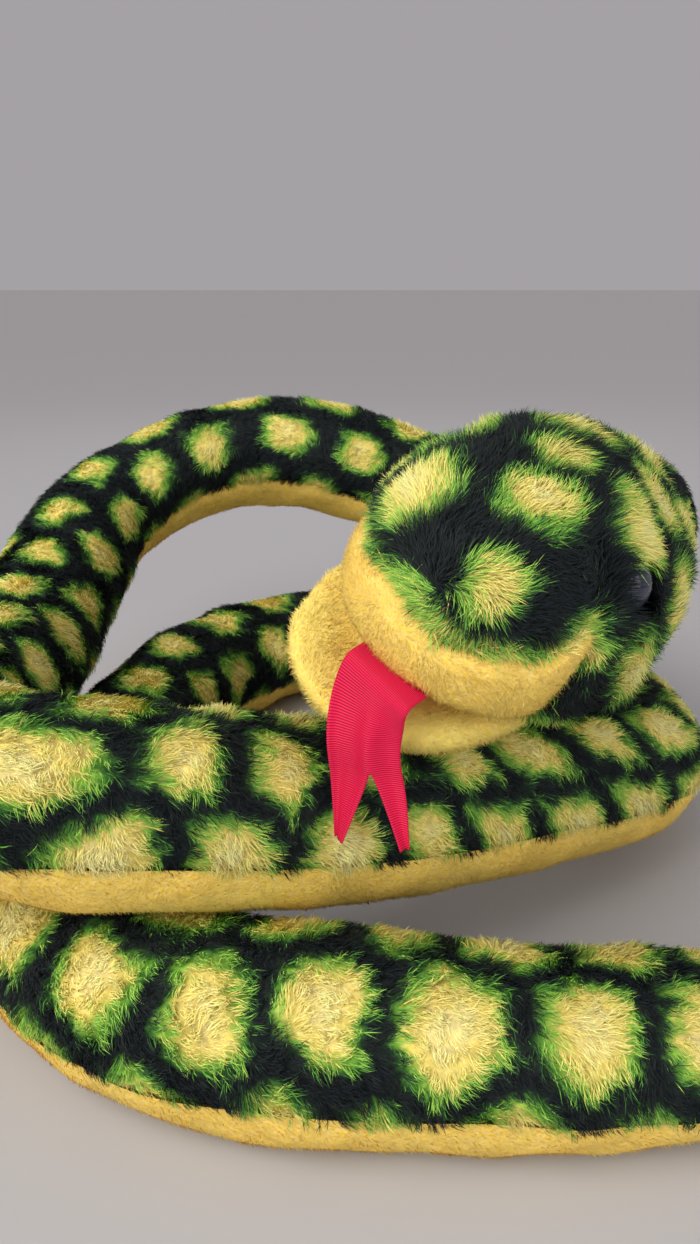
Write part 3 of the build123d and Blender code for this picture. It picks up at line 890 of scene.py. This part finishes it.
def patterned_pile(skin):
    """The head's long pile, brushed back and down, and longer and steeper round the eyes."""
    roots, up, fabric, from_eye = head_roots(skin, HEAD_PILE.density)
    flow = -0.8 * HEAD_AXES[0] - 0.35 * HEAD_AXES[2]
    flow = flow + 0.6 * np.cross(up, flow) * ripple(roots, 40 * MM, 43)[:, None]
    # the colour is read near a strand's tip, so that the spots stay in place
    seen_at = roots + 0.55 * HEAD_PILE.length * along_fabric(flow, up)
    depth = head_depth(seen_at) + rng.normal(0, 0.8 * MM, len(roots))
    lashes = 1 - ease(from_eye, 9 * MM, 16 * MM)
    longer = 1 + 0.25 * ripple(roots, 30 * MM, 44) + 0.2 * lashes
    tone = np.digitize(depth, TONE_STEPS)
    return grow(skin, HEAD_PILE, roots, up, flow, fabric, tone, longer, 0.4 * lashes)


def yellow_pile(skin, painted_light_steps=0):
    """The short pile of the lip, the throat and the jaw, its tones moved lighter by painted_light_steps as
    painted light.
    """
    roots, up, fabric, _ = head_roots(skin, LIP_PILE.density)
    flow = -0.8 * HEAD_AXES[0] - 0.2 * HEAD_AXES[2]
    tone = yellow_tones(roots, 1.4, 0.7, 14 * MM, 14) + painted_light_steps
    return grow(skin, LIP_PILE, roots, up, flow, fabric, tone)


def yellow_shade(skin):
    return np.clip(0.6 + 0.4 * ripple(places_of(skin), 26 * MM, 15), 0, 1)


def slim_throat(places):
    """Draws the underside behind the jaw in to the neck's own width."""
    local = head_axes(places)
    reach = np.maximum(np.hypot(local[:, 1], local[:, 2]), MM)
    below = ease(-local[:, 2] / reach, 0.3, 0.7) * ease(-local[:, 0], -75 * MM, -60 * MM)
    allowed = BODY_R + 1 * MM + (1 - below) * 30 * MM
    local[:, 1:] *= np.minimum(allowed / reach, 1)[:, None]
    return from_head(local)


def pad_head(whole):
    """Pads the head's form out, presses in the lip's seam and fills the lip."""
    places, normals = places_of(whole), normals_of(whole)
    local = head_axes(places)
    seam = np.abs(local[:, 2] - lip_height(local))
    front = local[:, 0] > LIP_FROM
    pressed = front & (local[:, 2] > 3 * MM - MOUTH_DROP)
    lip = front & (local[:, 2] < lip_height(local))
    push = 0.8 * MM * ripple(places, 45 * MM, 16) + 1.0 * MM
    push -= LIP_SEAM * np.exp(-((seam / (3 * MM)) ** 2)) * pressed
    push += LIP_PAD * lip * ease(seam, 2 * MM, 8 * MM) * ease(-lip_degrees(local), -51, -38)
    push *= ease(local[:, 0], HEAD_FROM, HEAD_FROM + 25 * MM)
    in_mouth = (np.abs(local[:, 2] + MOUTH_DROP) < 2 * MM) & (normals @ HEAD_AXES[2] < -0.7)
    push[in_mouth] = 0
    padded = slim_throat(places + normals * push[:, None])
    move_vertices(whole, padded)
    whole.data.update()
    return padded


def build_head():
    parts = ["head_cap", "upper_lip", "throat", "mouth_roof", "head_filling"]
    whole = soft_copy("head_form", parts, rounds=10)
    local = head_axes(pad_head(whole))
    height, seam = local[:, 2], lip_height(local)
    front = local[:, 0] > HEAD_FROM - 2 * MM
    rear = local[:, 0] < LIP_FROM + TUCK
    throat_top = -BODY_R * math.cos(BELLY_HALF)
    # the cap reaches a little under the lip and the throat, so no gap shows
    under_lip = np.minimum(lip_height(local, 4), lip_height(local, -4)) - TUCK
    cap = front & np.where(rear, height >= throat_top - TUCK, height > under_lip)
    lip = front & (local[:, 0] > LIP_FROM) & (height <= seam)
    throat = front & rear & (height < throat_top)

    def place(piece):
        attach(piece, "head")

    skin = keep_faces(whole, "head_cap_plush", cap)
    places, normals = places_of(skin), normals_of(skin)
    local = head_axes(places)
    covered = (local[:, 2] < lip_height(local)) & (local[:, 0] > LIP_FROM + TUCK)
    move_vertices(skin, places - normals * (0.5 * MM * covered)[:, None])
    cover_patterned(skin, head_depth(places))
    nodes = ["head_cap", "head_filling"]
    finish_skin(skin, patterned_pile(skin), "patterned_plush", HEAD_FILL, nodes, place)
    for name, keep, nodes in (
        ("upper_lip_plush", lip, ["upper_lip", "mouth_roof"]),
        ("throat_plush", throat, ["throat"]),
    ):
        skin = keep_faces(whole, name, keep)
        cover_yellow(skin, yellow_shade(skin))
        finish_skin(skin, yellow_pile(skin), "yellow_plush", HEAD_FILL, nodes, place)
    bpy.data.objects.remove(whole)


def build_jaw():
    nodes = ["lower_jaw", "mouth_floor", "jaw_filling"]
    skin = soft_copy("lower_jaw_plush", nodes, rounds=14)
    places, normals = places_of(skin), normals_of(skin)
    local = head_axes(places)
    low = ease(-local[:, 2], MOUTH_DROP - 1 * MM, MOUTH_DROP + 12 * MM)
    push = (JAW_PAD + 0.8 * MM * ripple(places, 40 * MM, 17)) * low
    places = places + normals * push[:, None]
    # the heavy front of the jaw droops forwards and down
    droop = low * ease(local[:, 0], 80 * MM, 125 * MM)
    places += droop[:, None] * (np.array(JAW_DROOP) * MM @ HEAD_AXES)
    move_vertices(skin, places)
    skin.data.update()
    # the jaw's yellow is one tone lighter than the lip's: painted light, for the light that falls on the
    # jaw
    cover_yellow(skin, yellow_shade(skin), painted_light_steps=1)
    pile = yellow_pile(skin, painted_light_steps=1)
    finish_skin(skin, pile, "yellow_plush", HEAD_FILL, nodes,
                lambda piece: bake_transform(piece))


build_head()
build_jaw()


# ---- tongue ----
def tongue_places(root, across, front, down, inside):
    """The ribbon's middle line, and rows of places across it that narrow into two points."""
    line = [root - SNOUT * inside, root - SNOUT * inside * 0.5, root - SNOUT * 4 * MM]
    line += [root + (down * drop + front * out + across * over) * MM for drop, out, over in TONGUE_HANG]
    t, centre = smooth_line(line, 0.7 * MM)
    t = t / t[-1] * TONGUE_LENGTH
    turn = ease(t, inside - 2 * MM, inside + 22 * MM)[:, None]
    way = unit((1 - turn) * np.array(LEFT) + turn * np.array(across))
    out = ease(t, inside, inside + 18 * MM)
    # out of the mouth it is a little narrower, because it curls
    hollow = 1 - 0.07 * out - 0.05 * np.exp(-(((t - inside - 24 * MM) / (9 * MM)) ** 2))
    past = np.clip((t - (TONGUE_LENGTH - TONGUE_FORK)) / TONGUE_FORK, 0, 1)
    share = np.linspace(-1, 1, TONGUE_COLUMNS)
    places = np.zeros((len(t), TONGUE_COLUMNS, 3))
    for k, a in enumerate(share):
        # past the notch each leg narrows towards its own outer edge
        outer = 1 if a > NOTCH_AT else -1
        aside = (outer + (a - outer) * (1 - NOTCH_CUT * past)) * hollow * TONGUE_W / 2
        wave = MM * out * (1.5 * np.sin(4.0 * a + 0.4 + 25 * (t - inside)) + 0.4 * np.sin(9 * a))
        places[:, k] = centre + way * aside[:, None] + wave[:, None] * np.array(front)
    return t, share, past, places


def build_tongue():
    """A ribbon that comes out between the lips and hangs down, with a cut fork."""
    root = Vector(from_head(np.array([[TONGUE_X, TONGUE_ASIDE, -MOUTH_DROP]]))[0])
    across = Vector((math.cos(TONGUE_TURN), -math.sin(TONGUE_TURN), 0))
    front = across.cross(Vector((0, 0, 1)))
    down = Vector((0, 0, -math.cos(TONGUE_LEAN))) + front * math.sin(TONGUE_LEAN)
    inside = TONGUE_LENGTH - TONGUE_OUT
    t, share, past, places = tongue_places(root, across, front, down, inside)
    index = np.arange(len(t) * TONGUE_COLUMNS).reshape(len(t), TONGUE_COLUMNS)
    faces = []
    for i in range(len(t) - 1):
        for k in range(TONGUE_COLUMNS - 1):
            if past[i + 1] > 0 and share[k] <= NOTCH_AT < share[k + 1]:
                continue
            faces.append((index[i, k], index[i + 1, k], index[i + 1, k + 1], index[i, k + 1]))
    piece = make_mesh("ribbon_tongue", places.reshape(-1, 3), np.array(faces))
    layer = piece.data.uv_layers.new(name="ribbon")
    for loop in piece.data.loops:
        i, k = divmod(loop.vertex_index, TONGUE_COLUMNS)
        layer.data[loop.index].uv = (share[k] * 0.13, t[i] / (10 * MM))
    thick = piece.modifiers.new("thickness", "SOLIDIFY")
    thick.thickness = TONGUE_THICK
    thick.offset = 0
    apply_modifiers(piece)
    piece.data.materials.append(satin_material())
    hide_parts("tongue_ribbon", "tongue_root")
    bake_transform(piece)


build_tongue()


# ---- hard parts and thread ----
def build_small_parts():
    """Materials for the CAD parts that show as they are."""
    # dark blue-grey plastic, its base a little above black: partly its own colour, partly painted
    # reflection of the pale room
    eye = plastic_material("eye_plastic", (0.024, 0.028, 0.046), 0.2, 0.6)
    washer = plastic_material("washer_plastic", (0.80, 0.80, 0.78), 0.4, 0.0)
    looks = {"closing_stitches": thread_material()}
    for side in ("left", "right"):
        looks[f"eye_{side}"] = eye
        looks[f"eye_washer_{side}"] = washer
    for node, material in looks.items():
        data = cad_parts[node].data
        data.materials.clear()
        data.materials.append(material)


build_small_parts()


# ---- floor, lights and camera ----
def build_floor():
    bpy.ops.mesh.primitive_plane_add(size=60)
    floor = bpy.context.object
    floor.name = "floor"
    material, tree, shader = base_material("floor_paint", (0.46, 0.455, 0.475), 0.9)
    shader.inputs["Specular IOR Level"].default_value = 0.1
    mottle = noise(tree, scale=6, detail=3.0)
    tree.links.new(spread(tree, mottle, 0.85, 0.95), shader.inputs["Roughness"])
    floor.data.materials.append(material)


def add_lamp(light, place, way):
    lamp = bpy.data.objects.new(light.name, light)
    lamp.location = place
    lamp.rotation_euler = way.to_track_quat("-Z", "Y").to_euler()
    bpy.context.scene.collection.objects.link(lamp)


def build_lights():
    world = bpy.data.worlds.new("studio")
    world.use_nodes = True
    world.node_tree.nodes["Background"].inputs["Color"].default_value = (0.82, 0.78, 0.82, 1)
    world.node_tree.nodes["Background"].inputs["Strength"].default_value = 0.46
    bpy.context.scene.world = world
    sun = bpy.data.lights.new("window", "SUN")
    sun.energy = 1.2
    sun.angle = math.radians(35)
    sun.color = (1.0, 0.95, 0.86)
    add_lamp(sun, (0, 0, 0), SUN_WAY)
    for name, place, size, power in LIGHTS:
        light = bpy.data.lights.new(name, "AREA")
        light.size = size
        light.energy = power
        add_lamp(light, place, LIT_PLACE - Vector(place))


def build_camera():
    camera = bpy.data.cameras.new("camera")
    camera.lens = CAMERA_LENS
    camera.sensor_width = 36
    holder = bpy.data.objects.new("camera", camera)
    holder.location = CAMERA_AT
    holder.rotation_euler = (CAMERA_TILT, 0, 0)
    bpy.context.scene.collection.objects.link(holder)
    bpy.context.scene.camera = holder


build_floor()
build_lights()
build_camera()
bpy.context.scene.view_settings.view_transform = "Standard"
